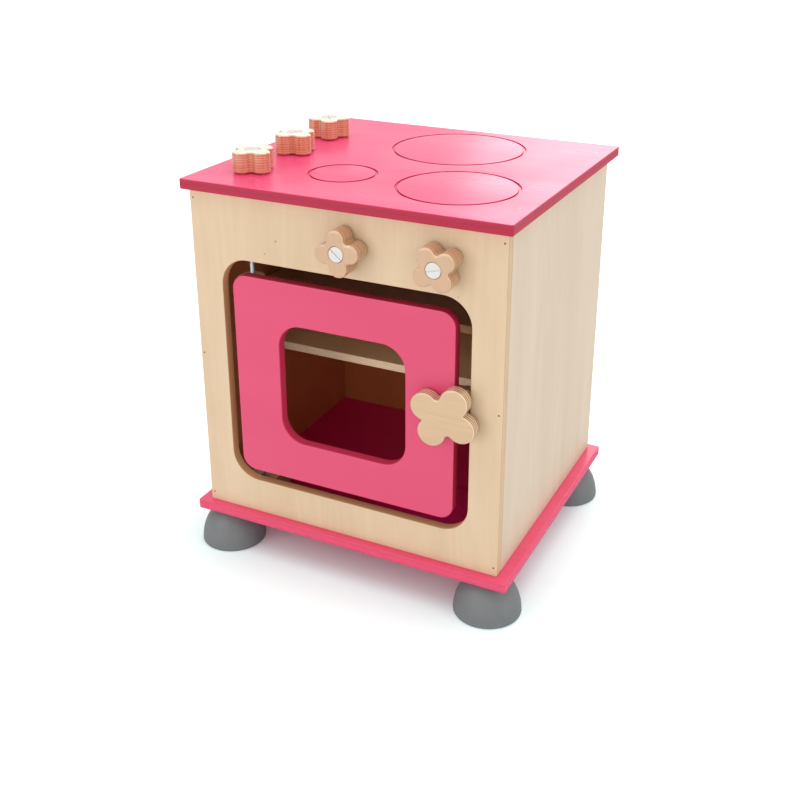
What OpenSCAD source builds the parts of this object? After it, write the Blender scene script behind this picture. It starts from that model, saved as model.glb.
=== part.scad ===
// Toy oven of birch plywood: a cabinet on four rubber feet, a pink door on a
// hidden steel rod, a turning flower latch and five flower knobs on barrel bolts.
// +X is to the right seen from the front, -Y is out of the front, +Z is up.
// The origin is on the floor, in the middle of the footprint.

/* [Cabinet boards] */
// Thickness of every cabinet board
ply_t = 12; // [10:0.5:14]
// Width of the cabinet over its side boards
cabinet_w = 386; // [376:1:440]
// Depth of the cabinet over the front and back boards
cabinet_d = 337; // [310:1:380]
// Height of the cabinet between the base board and the hob board
cabinet_h = 404; // [398:1:450]

/* [Hob board] */
// How far the hob board stands out past each side
hob_over_side = 7; // [3:0.5:12]
// How far the hob board stands out past the front
hob_over_front = 9; // [4:0.5:14]
// How far the hob board stands out past the back
hob_over_back = 24; // [10:1:30]
// Width of the ring grooves
groove_w = 3.2; // [2:0.1:5]
// Depth of the ring grooves
groove_d = 1.4; // [1:0.1:1.6]
// Radius of the large ring
ring_large_r = 81.4; // [70:0.2:86]
// Large ring centre, to the right of the middle
ring_large_x = 25; // [10:0.5:40]
// Large ring centre, back from the front edge
ring_large_y = 268.7; // [262:0.1:272]
// Radius of the medium ring
ring_medium_r = 67.9; // [55:0.1:72]
// Medium ring centre, to the right of the middle
ring_medium_x = 95.6; // [90:0.1:105]
// Medium ring centre, back from the front edge
ring_medium_y = 103.9; // [90:0.1:106]
// Radius of the small ring
ring_small_r = 38.7; // [30:0.1:42]
// Small ring centre, to the left of the middle
ring_small_x = 46.5; // [42:0.5:54]
// Small ring centre, back from the front edge
ring_small_y = 101.7; // [90:0.1:120]

/* [Base board] */
// How far the base board stands out past each side
base_over_side = 14; // [8:0.5:20]
// How far the base board stands out past the front
base_over_front = 10; // [6:0.5:16]
// How far the base board stands out past the back
base_over_back = 9; // [6:0.5:16]

/* [Doorway] */
// Width of the front board beside the doorway
stile_w = 37.5; // [34:0.5:46]
// Height of the front board above the doorway
head_rail_h = 76.5; // [70:0.5:90]
// Height of the front board under the doorway
foot_rail_h = 44.5; // [40:0.5:48]
// Corner radius of the doorway
doorway_r = 34; // [24:0.5:44]

/* [Door] */
// Thickness of the door
door_t = 12; // [10:0.5:14]
// Gap between the door and the doorway, all round
door_gap = 16.5; // [14:0.5:18]
// How far the door stands out of the front board
door_proud = 4; // [2:0.5:4.5]
// Width of the door beside the window
door_stile_w = 59; // [52:0.5:70]
// Height of the door above and below the window
door_rail_h = 51; // [46:0.5:62]
// Corner radius of the window
window_r = 29; // [15:0.5:36]

/* [Hinge] */
// Radius of the steel hinge rod
rod_r = 3; // [2.5:0.25:4]
// Rod axis in from the door's edge, also the round of the knuckles
rod_in = 13.5; // [12:0.25:14]
// Rod axis behind the door's back
rod_back = 10; // [8:0.5:12]
// Running clearance of the knuckles on the rod
rod_fit = 0.06; // [0.03:0.01:0.1]
// Height of a knuckle
knuckle_h = 24; // [18:1:30]
// Knuckle in from the door's top or bottom edge
knuckle_in = 7; // [5:0.5:14]
// Radius of the collar that carries the lower knuckle
collar_r = 6.5; // [5:0.25:8]
// Height of that collar
collar_h = 6; // [4:0.5:8]
// Play between the collar and the knuckle
collar_play = 0.3; // [0.2:0.05:0.5]
// Rod block, from the rod axis to its left side
block_left = 22.5; // [18:0.5:26]
// Rod block, from the rod axis to its right side
block_right = 15.5; // [12:0.5:24]
// Depth of a rod block behind the front board
block_d = 45; // [36:1:60]
// Height of a rod block
block_h = 38; // [30:1:40]
// Upper rod block above the doorway's top edge
block_above = 6.5; // [4:0.5:12]
// How deep the rod stands in each block
rod_seat = 26; // [20:1:28]

/* [Latch] */
// Latch axis in from the door's free edge
latch_in = 8; // [7.5:0.5:12]
// Latch axis above the middle of the door
latch_rise = 8.5; // [0:0.5:20]
// Thickness of the outer flower
latch_t = 15; // [12:0.5:20]
// Half the petal spacing along the outer flower
latch_long = 17.75; // [16:0.25:20]
// Half the petal spacing across the outer flower
latch_short = 14.95; // [13:0.05:15.5]
// Petal radius of the outer flower
latch_petal_r = 16.2; // [15.6:0.1:18]
// Radius in the wide notches of the outer flower
latch_wide_notch_r = 4.5; // [3:0.25:6]
// Radius in the narrow notches of the outer flower
latch_narrow_notch_r = 0.8; // [0.6:0.1:2]
// Turn of the outer flower as the door stands shut
latch_turn = 16.5; // [0:0.5:90]
// Petal circle of the inner catch flower
catch_ring_r = 18; // [16:0.25:18.5]
// Petal radius of the catch flower
catch_petal_r = 10; // [9:0.1:10.2]
// Thickness of the catch flower
catch_t = 13; // [10:0.5:18]
// Radius of the latch spindle
spindle_r = 8; // [6:0.25:9]
// Running clearance of the spindle in the door
spindle_fit = 0.08; // [0.04:0.01:0.1]
// How deep the spindle is glued into each flower
spindle_seat = 9; // [6:0.5:10]
// Gap between the catch flower and the back of the front board
catch_gap = 2; // [1:0.25:4]

/* [Knobs] */
// Petal circle of the knobs
knob_ring_r = 15.5; // [14.5:0.25:17]
// Petal radius of the knobs
knob_petal_r = 10.8; // [9.5:0.1:11.5]
// Radius in the notches between petals
notch_r = 4; // [3:0.25:6]
// Thickness of the knobs
knob_t = 24; // [18:0.5:30]
// Rounding of the flowers' edges
edge_r = 1; // [0.5:0.1:1.4]
// Front knobs below the middle of the board above the doorway
oven_knob_drop = 3.75; // [0:0.25:8]
// Left front knob, to the right of the middle
oven_knob_left_x = 9; // [-20:0.5:30]
// Right front knob, to the right of the middle
oven_knob_right_x = 121.5; // [100:0.5:130]
// Turn of the left front knob
oven_knob_left_turn = 6; // [0:1:90]
// Turn of the right front knob
oven_knob_right_turn = 36.5; // [0:0.5:90]
// Front hob knob in from the hob's left edge
hob_knob_front_in = 56; // [44:0.5:60]
// Front hob knob back from the hob's front edge
hob_knob_front_y = 67; // [62:0.5:80]
// Turn of the front hob knob
hob_knob_front_turn = 69; // [0:1:90]
// Middle hob knob in from the hob's left edge
hob_knob_middle_in = 53; // [44:0.5:60]
// Middle hob knob back from the hob's front edge
hob_knob_middle_y = 164; // [150:0.5:180]
// Turn of the middle hob knob
hob_knob_middle_turn = 64; // [0:1:90]
// Back hob knob in from the hob's left edge
hob_knob_back_in = 48; // [44:0.5:60]
// Back hob knob back from the hob's front edge
hob_knob_back_y = 256; // [240:0.5:275]
// Turn of the back hob knob
hob_knob_back_turn = 30; // [0:1:90]

/* [Barrel bolts] */
// Radius of the barrel that a knob turns on
barrel_r = 4; // [3.5:0.1:5]
// Running clearance of a knob on its barrel
barrel_fit = 0.06; // [0.03:0.01:0.1]
// Radius of the slotted cap
cap_r = 8.75; // [8:0.05:9.5]
// Thickness of the cap
cap_t = 2.4; // [2:0.1:3.2]
// Gap round the cap in its counterbore
cap_gap = 0.6; // [0.3:0.1:1]
// Play of a knob along its bolt
knob_play = 0.3; // [0.2:0.05:0.5]
// Width of the cap's slot
slot_w = 1.6; // [1:0.1:2]
// Depth of the cap's slot
slot_d = 1; // [0.6:0.1:1.4]
// Thickness of every washer
washer_t = 1; // [0.6:0.1:1.6]
// Radius of the washers under the knobs
washer_r = 9; // [8:0.25:11]
// Radius of the washers behind the boards
rear_washer_r = 7; // [6:0.25:8]
// Radius of the clamping screws' shank
screw_r = 2; // [1.5:0.1:2.5]
// Radius of the clamping screws' head
screw_head_r = 4; // [3.5:0.1:5]
// Height of the clamping screws' head
screw_head_t = 3; // [2:0.25:4]

/* [Shelves] */
// Thickness of the shelf boards
shelf_t = 10; // [8:0.5:12]
// Front edge of the shelves behind the front of the cabinet
shelf_front = 91; // [80:1:140]
// Top of the lower shelf above the base board
lower_shelf_z = 191.5; // [150:0.5:200]
// Top of the upper shelf above the base board
upper_shelf_z = 257.5; // [240:0.5:290]
// Width of the battens that carry the shelves
batten_w = 10; // [8:0.5:16]
// Height of the battens
batten_h = 14; // [10:0.5:18]

/* [Feet] */
// Radius of a foot on the floor
foot_r = 40; // [32:0.5:46]
// Radius of a foot under the base board
foot_top_r = 15; // [12:0.5:20]
// Height of a foot
foot_h = 48; // [40:0.5:60]
// Rounding of a foot's lower edge
foot_edge_r = 2; // [1:0.25:3]
// Foot axis in from the base board's side
foot_in_side = 31.5; // [28:0.5:45]
// Foot axis in from the base board's front edge
foot_in_front = 28.4; // [26:0.2:45]
// Foot axis in from the base board's back edge
foot_in_back = 38; // [28:0.5:60]
// Radius of the screw well in a foot
foot_well_r = 7.5; // [6.5:0.25:9]
// Rubber left above the screw well
foot_roof = 8; // [6:0.5:12]

/* [Small fasteners] */
// Radius of the wood screws
wood_screw_r = 1.75; // [1.25:0.05:2]
// Radius of the wood screws' heads
wood_screw_head_r = 3.5; // [3:0.1:4]
// How deep the wood screws bite
wood_screw_bite = 9; // [6:0.5:9.5]
// Radius of the brads that hold the boards
brad_r = 0.8; // [0.6:0.05:1]
// Radius of the brads' heads
brad_head_r = 1.1; // [1:0.05:1.5]
// Length of the brads
brad_len = 30; // [25:1:38]
// Brads of the front board, in from the cabinet's sides
brad_in_side = 4.5; // [3:0.25:5]
// Brads of the front board, in from the cabinet's top and bottom
brad_in_end = 10.75; // [8:0.25:20]
// Brads of the hob and base boards, in from the cabinet's sides
brad_in_wall = 8.5; // [7.5:0.25:9]
// Brads of the hob and base boards, in from the cabinet's front
brad_in_front = 50; // [35:1:90]
// Brads of the hob and base boards, in from the cabinet's back
brad_in_back = 22; // [16:1:60]

/* [Hidden] */
$fn = 72;
eps = 0.01;
rim_steps = 3;                        // flats in a rounded rim
fixed_fit = 0.05;                     // round a pin that is clamped or glued in its hole
head_edge_r = 0.6;                    // rounding of caps and screw heads
socket_r = 1.5;                       // hex socket in the clamping screws' heads
foot_head_t = 2.5;                    // height of the foot screws' heads
spacer_wall = 6;                      // wood round the spindle in the latch spacer
latch_washer_rim = 5;                 // rim of the latch washer round the spindle
oven_slots = [140, 15];               // how the slots in the front knobs' caps stand
hob_slots = [30, 80, 130];            // how the slots in the hob knobs' caps stand

base_z = foot_h;                      // underside of the base board
floor_z = base_z + ply_t;             // top of the base board, the oven's floor
hob_z = floor_z + cabinet_h;          // underside of the hob board
top_z = hob_z + ply_t;                // top of the hob board

cabinet_x = cabinet_w / 2;
wall_x = cabinet_x - ply_t;           // inner faces of the side boards
back_y = cabinet_d - ply_t;           // inner face of the back board
hob_x = cabinet_x + hob_over_side;
hob_y0 = -hob_over_front;
hob_y1 = cabinet_d + hob_over_back;
base_x = cabinet_x + base_over_side;
base_y0 = -base_over_front;
base_y1 = cabinet_d + base_over_back;

foot_x = base_x - foot_in_side;
foot_y0 = base_y0 + foot_in_front;
foot_y1 = base_y1 - foot_in_back;

doorway_w = cabinet_w - 2 * stile_w;
doorway_h = cabinet_h - head_rail_h - foot_rail_h;
doorway_z = floor_z + foot_rail_h;           // lower edge of the doorway
door_w = doorway_w - 2 * door_gap;
door_h = doorway_h - 2 * door_gap;
door_z = doorway_z + door_gap;               // lower edge of the door
window_w = door_w - 2 * door_stile_w;
window_h = door_h - 2 * door_rail_h;
door_y = -door_proud;                        // front face of the door
door_back_y = door_y + door_t;

rod_x = -door_w / 2 + rod_in;
rod_y = door_back_y + rod_back;
low_knuckle_z = door_z + knuckle_in;
high_knuckle_z = door_z + door_h - knuckle_in - knuckle_h;
collar_z = low_knuckle_z - collar_play - collar_h;
high_block_z = doorway_z + doorway_h + block_above;
rod_z0 = floor_z + block_h - rod_seat;
rod_z1 = high_block_z + rod_seat;

latch_x = door_w / 2 - latch_in;
latch_z = door_z + door_h / 2 + latch_rise;
latch_back_y = door_y - washer_t;            // back face of the outer flower
catch_y = ply_t + catch_gap;                 // front face of the catch flower
spacer_r = spindle_r + spacer_wall;
latch_washer_r = spindle_r + latch_washer_rim;
latch_screw_bite = 20;                       // pilot hole in the spindle's end

knob_face_y = -washer_t - knob_t;
cap_seat = knob_t - cap_t - knob_play;       // from a knob's back to its counterbore
barrel_end = ply_t - 0.5;                    // the barrel stops just inside the board
hob_knobs = [
    [hob_knob_front_in - hob_x, hob_y0 + hob_knob_front_y, hob_knob_front_turn],
    [hob_knob_middle_in - hob_x, hob_y0 + hob_knob_middle_y, hob_knob_middle_turn],
    [hob_knob_back_in - hob_x, hob_y0 + hob_knob_back_y, hob_knob_back_turn]];
oven_knob_z = hob_z - head_rail_h / 2 - oven_knob_drop;
oven_knobs = [
    [oven_knob_left_x, oven_knob_left_turn],
    [oven_knob_right_x, oven_knob_right_turn]];

reach_front = min(knob_face_y, foot_y0 - foot_r, base_y0, latch_back_y - latch_t);
reach_back = max(hob_y1, base_y1, foot_y1 + foot_r);
middle_y = (reach_front + reach_back) / 2;

// ---- shared shapes

// A board from one corner, sized in x, y and z
module board(x, y, z, size) translate([x, y, z]) cube(size);

// A rectangle with round corners, its lower edge on the x axis
module round_rect(w, h, r) {
    translate([-w / 2 + r, 0]) square([w - 2 * r, h]);
    translate([-w / 2, r]) square([w, h - 2 * r]);
    for (x = [-1, 1], y = [r, h - r]) translate([x * (w / 2 - r), y]) circle(r);
}

// Stands a drawing up in the xz plane and gives it a thickness towards +y
module upright(t) rotate([90, 0, 0]) translate([0, 0, -t]) linear_extrude(t) children();

// Turns a shape made along +z to point along +y
module facing_back() rotate([-90, 0, 0]) children();

// Turns a shape made along +z to point along -y, with its x to the right
module facing_front() rotate([90, 0, 0]) children();

// Points of a quarter arc of radius e from angle `from` to angle `to`, about [x, z]
function arc(x, z, e, from, to) = [for (i = [0 : rim_steps])
    let (a = from + (to - from) * i / rim_steps) [x + e * cos(a), z + e * sin(a)]];

// A disc with both rims rounded
module puck(r, t, e) rotate_extrude() polygon(concat([[0, 0]],
    arc(r - e, e, e, -90, 0), arc(r - e, t - e, e, 0, 90), [[0, t]]));

// What a round cutter takes out of a notch whose rims stay rounded
module notch_cut(r, t, e) rotate_extrude() polygon(concat([[0, -1], [r + e, -1]],
    arc(r + e, e, e, -90, -180), arc(r + e, t - e, e, 180, 90), [[r + e, t + 1], [0, t + 1]]));

// A flower with four petals at the corners of a rectangle 2a by 2b. Each notch is an
// arc that runs into its two petals without a corner.
module flower(a, b, petal, notch_a, notch_b, t) {
    up = b + sqrt(pow(petal + notch_a, 2) - a * a);
    out = a + sqrt(pow(petal + notch_b, 2) - b * b);
    difference() {
        linear_extrude(t) polygon([[a, b], [0, up], [-a, b], [-out, 0],
            [-a, -b], [0, -up], [a, -b], [out, 0]]);
        for (s = [-1, 1]) {
            translate([0, s * up, 0]) notch_cut(notch_a, t, edge_r);
            translate([s * out, 0, 0]) notch_cut(notch_b, t, edge_r);
        }
    }
    for (x = [-a, a], y = [-b, b]) translate([x, y, 0]) puck(petal, t, edge_r);
}

// A regular flower, its first petal along +x
module round_flower(ring_r, petal, t) {
    half = ring_r * sin(45);
    rotate(45) flower(half, half, petal, notch_r, notch_r, t);
}

// A knob standing on z = 0, bored for its barrel and recessed for the cap
module knob(turn) color("burlywood") difference() {
    rotate(turn) round_flower(knob_ring_r, knob_petal_r, knob_t);
    translate([0, 0, -1]) cylinder(r = barrel_r + barrel_fit, h = knob_t + 2);
    translate([0, 0, cap_seat]) cylinder(r = cap_r + cap_gap, h = knob_t);
}

// The barrel bolt of a knob that stands on z = 0: slotted cap, barrel, threaded bore
module barrel_bolt(turn) color("gainsboro") difference() {
    union() {
        translate([0, 0, knob_t - cap_t]) puck(cap_r, cap_t, head_edge_r);
        translate([0, 0, -washer_t - barrel_end])
            cylinder(r = barrel_r, h = washer_t + barrel_end + knob_t - cap_t / 2);
    }
    rotate(turn) translate([-cap_r - 1, -slot_w / 2, knob_t - slot_d])
        cube([2 * cap_r + 2, slot_w, 2 * slot_d]);
    translate([0, 0, -washer_t - barrel_end - 1])
        cylinder(r = screw_r + fixed_fit, h = washer_t + barrel_end + knob_t / 2 + 1);
}

// The screw that draws a barrel bolt tight, for the same knob on z = 0
module clamp_screw() color("silver") {
    under = -washer_t - ply_t - washer_t;    // the head's seat on the rear washer
    translate([0, 0, under - screw_head_t]) difference() {
        puck(screw_head_r, screw_head_t, head_edge_r);
        translate([0, 0, -1]) cylinder(r = socket_r, h = 1 + screw_head_t / 2, $fn = 6);
    }
    translate([0, 0, under - 0.5]) cylinder(r = screw_r, h = ply_t + knob_t / 4);
}

// A flat ring standing on z = 0
module washer(outer, hole) color("silver") difference() {
    cylinder(r = outer, h = washer_t);
    translate([0, 0, -1]) cylinder(r = hole, h = washer_t + 2);
}

// The two washers of a knob on z = 0: one under the knob, one behind the board
module knob_washers() {
    translate([0, 0, -washer_t]) washer(washer_r, barrel_r + fixed_fit);
    translate([0, 0, -2 * washer_t - ply_t]) washer(rear_washer_r, screw_r + fixed_fit);
}

// Puts what was made for a knob on z = 0 at each hob knob or front knob
module at_hob_knob(i) translate([hob_knobs[i][0], hob_knobs[i][1], top_z + washer_t])
    children();
module at_oven_knob(i) translate([oven_knobs[i][0], -washer_t, oven_knob_z])
    facing_front() children();

// The clearance hole of a barrel through a board
module barrel_hole() translate([0, 0, -washer_t - ply_t - 1])
    cylinder(r = barrel_r + fixed_fit, h = ply_t + washer_t + 2);

// A countersunk wood screw along +z with its head's face at z = 0
module wood_screw(len, grow = 0) {
    cone = wood_screw_head_r - wood_screw_r;
    rotate_extrude() polygon([[0, 0], [wood_screw_head_r + grow, 0],
        [wood_screw_r + grow, cone], [wood_screw_r + grow, len], [0, len]]);
}

// A brad along +z with its head's face at z = 0
module brad() {
    cylinder(r = brad_head_r, h = 1, $fn = 24);
    cylinder(r = brad_r, h = brad_len, $fn = 24);
}

// ---- cabinet

module base_panel() color("hotpink")
    board(-base_x, base_y0, base_z, [2 * base_x, base_y1 - base_y0, ply_t]);

module side_panel(x) color("wheat")
    board(x, ply_t, floor_z, [ply_t, cabinet_d - ply_t, cabinet_h]);
module left_side() side_panel(-cabinet_x);
module right_side() side_panel(wall_x);

module front_panel() color("wheat") difference() {
    board(-cabinet_x, 0, floor_z, [cabinet_w, ply_t, cabinet_h]);
    translate([0, -1, doorway_z]) upright(ply_t + 2)
        round_rect(doorway_w, doorway_h, doorway_r);
    for (i = [0, 1]) at_oven_knob(i) barrel_hole();
}

module back_panel() color("wheat")
    board(-wall_x, back_y, floor_z, [2 * wall_x, ply_t, cabinet_h]);

// A ring groove with a round bottom, cut into the hob board
module ring_groove(x, y, r) translate([x, hob_y0 + y, top_z]) rotate_extrude()
    translate([r, groove_w / 2 - groove_d]) circle(groove_w / 2, $fn = 32);

module hob_top() color("hotpink") difference() {
    board(-hob_x, hob_y0, hob_z, [2 * hob_x, hob_y1 - hob_y0, ply_t]);
    ring_groove(ring_large_x, ring_large_y, ring_large_r);
    ring_groove(ring_medium_x, ring_medium_y, ring_medium_r);
    ring_groove(-ring_small_x, ring_small_y, ring_small_r);
    for (i = [0 : 2]) at_hob_knob(i) barrel_hole();
}

module shelf(z) color("burlywood")
    board(-wall_x, shelf_front, floor_z + z - shelf_t, [2 * wall_x, back_y - shelf_front, shelf_t]);
module lower_shelf() shelf(lower_shelf_z);
module upper_shelf() shelf(upper_shelf_z);

module shelf_battens() color("tan")
    for (x = [-wall_x, wall_x - batten_w], z = [lower_shelf_z, upper_shelf_z])
        board(x, shelf_front, floor_z + z - shelf_t - batten_h,
            [batten_w, back_y - shelf_front, batten_h]);

module rod_block(z, bore_z, bore_h) color("burlywood") difference() {
    board(rod_x - block_left, ply_t, z, [block_left + block_right, block_d, block_h]);
    translate([rod_x, rod_y, bore_z]) cylinder(r = rod_r + rod_fit, h = bore_h);
}
module rod_block_lower() rod_block(floor_z, rod_z0, block_h);
module rod_block_upper() rod_block(high_block_z, high_block_z - 1, block_h + 2);

module hinge_rod() color("silver") translate([rod_x, rod_y, rod_z0])
    cylinder(r = rod_r, h = rod_z1 - rod_z0);

module rod_collar() color("gray") translate([rod_x, rod_y, collar_z]) difference() {
    puck(collar_r, collar_h, 0.5);
    translate([0, 0, -1]) cylinder(r = rod_r + fixed_fit, h = collar_h + 2);
}

// A bell of rubber: going up, its radius shrinks as an ellipse does
bell_rise = foot_h / sqrt(1 - pow(foot_top_r / foot_r, 2));
function bell(z) = foot_r * sqrt(1 - pow(z / bell_rise, 2));
bell_steps = 16;
bell_outline = concat([[0, 0]],
    [for (a = [0 : 15 : 75]) [foot_r - foot_edge_r * (1 - sin(a)), foot_edge_r * (1 - cos(a))]],
    [for (i = [1 : bell_steps])
        let (z = foot_edge_r + (foot_h - foot_edge_r) * sin(90 * i / bell_steps)) [bell(z), z]],
    [[0, foot_h]]);

module foot(x, y) color("slategray") translate([x, y, 0]) difference() {
    rotate_extrude() polygon(bell_outline);
    translate([0, 0, -1]) cylinder(r = foot_well_r, h = foot_h - foot_roof + 1);
    translate([0, 0, -1]) cylinder(r = wood_screw_r + 2 * fixed_fit, h = foot_h + 2);
}
module foot_front_left() foot(-foot_x, foot_y0);
module foot_front_right() foot(foot_x, foot_y0);
module foot_back_left() foot(-foot_x, foot_y1);
module foot_back_right() foot(foot_x, foot_y1);

module at_feet() for (x = [-foot_x, foot_x], y = [foot_y0, foot_y1])
    translate([x, y, foot_h - foot_roof]) children();

module foot_washers() at_feet() translate([0, 0, -washer_t])
    washer(foot_well_r - 0.5, wood_screw_r + fixed_fit);

module foot_screws() color("silver") at_feet() translate([0, 0, -washer_t]) {
    translate([0, 0, -foot_head_t]) puck(wood_screw_head_r, foot_head_t, head_edge_r);
    translate([0, 0, -0.5]) cylinder(r = wood_screw_r,
        h = 0.5 + washer_t + foot_roof + wood_screw_bite);
}

// Brads through the front board into the sides' edges, and through the hob and base
// boards into the sides' ends
module panel_brads() color("dimgray") for (side = [-1, 1]) {
    for (z = [brad_in_end, cabinet_h / 2, cabinet_h - brad_in_end])
        translate([side * (cabinet_x - brad_in_side), 0, floor_z + z]) facing_back() brad();
    for (y = [brad_in_front, cabinet_d - brad_in_back])
        translate([side * (cabinet_x - brad_in_wall), y, 0]) {
            translate([0, 0, top_z]) rotate([180, 0, 0]) brad();
            translate([0, 0, base_z]) brad();
        }
}

module oven_knob_bolts() for (i = [0, 1]) at_oven_knob(i) barrel_bolt(oven_slots[i]);
module oven_knob_screws() for (i = [0, 1]) at_oven_knob(i) clamp_screw();
module oven_knob_washers() for (i = [0, 1]) at_oven_knob(i) knob_washers();
module hob_knob_bolts() for (i = [0 : 2]) at_hob_knob(i) barrel_bolt(hob_slots[i]);
module hob_knob_screws() for (i = [0 : 2]) at_hob_knob(i) clamp_screw();
module hob_knob_washers() for (i = [0 : 2]) at_hob_knob(i) knob_washers();

// ---- door

module door_panel() color("hotpink") difference() {
    translate([0, door_y, door_z]) upright(door_t)
        round_rect(door_w, door_h, doorway_r - door_gap);
    translate([0, door_y - 1, door_z + door_rail_h]) upright(door_t + 2)
        round_rect(window_w, window_h, window_r);
    translate([latch_x, door_y - 1, latch_z]) facing_back()
        cylinder(r = spindle_r + spindle_fit, h = door_t + 2);
}

// Where the two screws of each knuckle go in, on either side of the rod, their heads
// sunk behind the rod's axis
screw_side = (rod_r + rod_in) / 2 + 0.5;
head_behind = 6;
module at_knuckle_screws() for (z = [low_knuckle_z, high_knuckle_z], s = [-1, 1])
    translate([rod_x + s * screw_side, rod_y + head_behind, z + knuckle_h / 2])
        facing_front() children();

// A block on the door's back, rounded about the rod that it turns on
module knuckle(z) color("burlywood") difference() {
    translate([rod_x, 0, z]) union() {
        board(-rod_in, door_back_y, 0, [2 * rod_in, rod_back, knuckle_h]);
        translate([0, rod_y, 0]) cylinder(r = rod_in, h = knuckle_h);
    }
    board(rod_x - rod_in, door_y, z - 1, [2 * rod_in, door_t, knuckle_h + 2]);
    translate([rod_x, rod_y, z - 1]) cylinder(r = rod_r + rod_fit, h = knuckle_h + 2);
    at_knuckle_screws() {
        wood_screw(rod_back + door_t, fixed_fit);
        translate([0, 0, eps - rod_in])
            cylinder(r = wood_screw_head_r + fixed_fit, h = rod_in);
    }
}
module knuckle_lower() knuckle(low_knuckle_z);
module knuckle_upper() knuckle(high_knuckle_z);

module knuckle_screws() color("silver") at_knuckle_screws()
    wood_screw(head_behind + rod_back + wood_screw_bite);

// ---- latch

module at_latch(y) translate([latch_x, y, latch_z]) facing_front() children();

module latch_flower() color("burlywood") at_latch(latch_back_y) difference() {
    rotate(latch_turn) flower(latch_long, latch_short, latch_petal_r,
        latch_wide_notch_r, latch_narrow_notch_r, latch_t);
    translate([0, 0, -1]) cylinder(r = spindle_r + fixed_fit, h = spindle_seat + 1);
}

module latch_washer() at_latch(door_y) washer(latch_washer_r, spindle_r + fixed_fit);

module latch_spindle() color("burlywood") at_latch(catch_y + spindle_seat) difference() {
    cylinder(r = spindle_r, h = catch_y - latch_back_y + 2 * spindle_seat);
    translate([0, 0, -1]) cylinder(r = wood_screw_r + fixed_fit, h = latch_screw_bite + 1);
}

// The ring that keeps the catch flower behind the front board
module latch_spacer() color("tan") at_latch(catch_y) difference() {
    cylinder(r = spacer_r, h = catch_y - door_back_y - knob_play);
    translate([0, 0, -1]) cylinder(r = spindle_r + fixed_fit, h = catch_y);
}

module catch_flower() color("burlywood") at_latch(catch_y + catch_t) difference() {
    rotate(45) round_flower(catch_ring_r, catch_petal_r, catch_t);
    translate([0, 0, catch_t - spindle_seat])
        cylinder(r = spindle_r + fixed_fit, h = catch_t);
    wood_screw(catch_t, fixed_fit);
}

module latch_screw() color("silver") at_latch(catch_y + catch_t)
    wood_screw(catch_t - spindle_seat + latch_screw_bite - 1);

// ---- knobs that turn

module oven_knob_left() at_oven_knob(0) knob(oven_knobs[0][1]);
module oven_knob_right() at_oven_knob(1) knob(oven_knobs[1][1]);
module hob_knob_front() at_hob_knob(0) knob(hob_knobs[0][2]);
module hob_knob_middle() at_hob_knob(1) knob(hob_knobs[1][2]);
module hob_knob_back() at_hob_knob(2) knob(hob_knobs[2][2]);

// Sets the origin in the middle of the footprint
module placed() translate([0, -middle_y, 0]) children();

placed() base_panel();
placed() left_side();
placed() right_side();
placed() front_panel();
placed() back_panel();
placed() hob_top();
placed() lower_shelf();
placed() upper_shelf();
placed() shelf_battens();
placed() rod_block_lower();
placed() rod_block_upper();
placed() hinge_rod();
placed() rod_collar();
placed() foot_front_left();
placed() foot_front_right();
placed() foot_back_left();
placed() foot_back_right();
placed() foot_washers();
placed() foot_screws();
placed() panel_brads();
placed() oven_knob_bolts();
placed() oven_knob_screws();
placed() oven_knob_washers();
placed() hob_knob_bolts();
placed() hob_knob_screws();
placed() hob_knob_washers();
placed() door_panel();
placed() knuckle_lower();
placed() knuckle_upper();
placed() knuckle_screws();
placed() latch_flower();
placed() latch_washer();
placed() latch_spindle();
placed() latch_spacer();
placed() catch_flower();
placed() latch_screw();
placed() oven_knob_left();
placed() oven_knob_right();
placed() hob_knob_front();
placed() hob_knob_middle();
placed() hob_knob_back();
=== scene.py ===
import bpy
import numpy as np
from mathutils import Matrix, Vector
from mathutils.geometry import delaunay_2d_cdt


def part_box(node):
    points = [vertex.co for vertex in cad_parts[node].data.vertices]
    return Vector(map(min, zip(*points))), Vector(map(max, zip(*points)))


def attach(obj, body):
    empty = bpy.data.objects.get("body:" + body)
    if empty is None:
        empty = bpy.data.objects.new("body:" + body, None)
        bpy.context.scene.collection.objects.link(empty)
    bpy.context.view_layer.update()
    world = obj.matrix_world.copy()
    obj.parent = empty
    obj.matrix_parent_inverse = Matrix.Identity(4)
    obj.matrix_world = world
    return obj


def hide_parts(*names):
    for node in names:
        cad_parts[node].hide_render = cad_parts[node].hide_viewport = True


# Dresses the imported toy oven: wooden pieces, feet and small parts in place of its nodes, their
# finishes, and the floor, lamps and camera of the picture. Lengths are in metres.
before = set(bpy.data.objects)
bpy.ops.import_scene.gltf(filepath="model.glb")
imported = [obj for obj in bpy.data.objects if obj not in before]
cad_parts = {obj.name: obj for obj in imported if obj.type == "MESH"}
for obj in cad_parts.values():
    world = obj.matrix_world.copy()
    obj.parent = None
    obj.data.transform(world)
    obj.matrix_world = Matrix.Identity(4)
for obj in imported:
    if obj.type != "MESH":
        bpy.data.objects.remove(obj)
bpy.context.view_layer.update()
mm = 0.001
print("frame loaded:", len(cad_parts), "nodes")


# Shapes: loops of points, and skins over them.

def outward(points, faces):
    # Signed volume of a closed skin, summed over the fans of its faces: below zero it is inside out.
    volume = 0.0
    bySize = {}
    for face in faces:
        bySize.setdefault(len(face), []).append(face)
    for size, group in bySize.items():
        corners = points[np.array(group)]
        for k in range(1, size - 1):
            volume += np.einsum("ij,ij->", corners[:, 0], np.cross(corners[:, k], corners[:, k + 1]))
    if volume < 0:
        faces = [face[::-1] for face in faces]
    return points, faces


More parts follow.
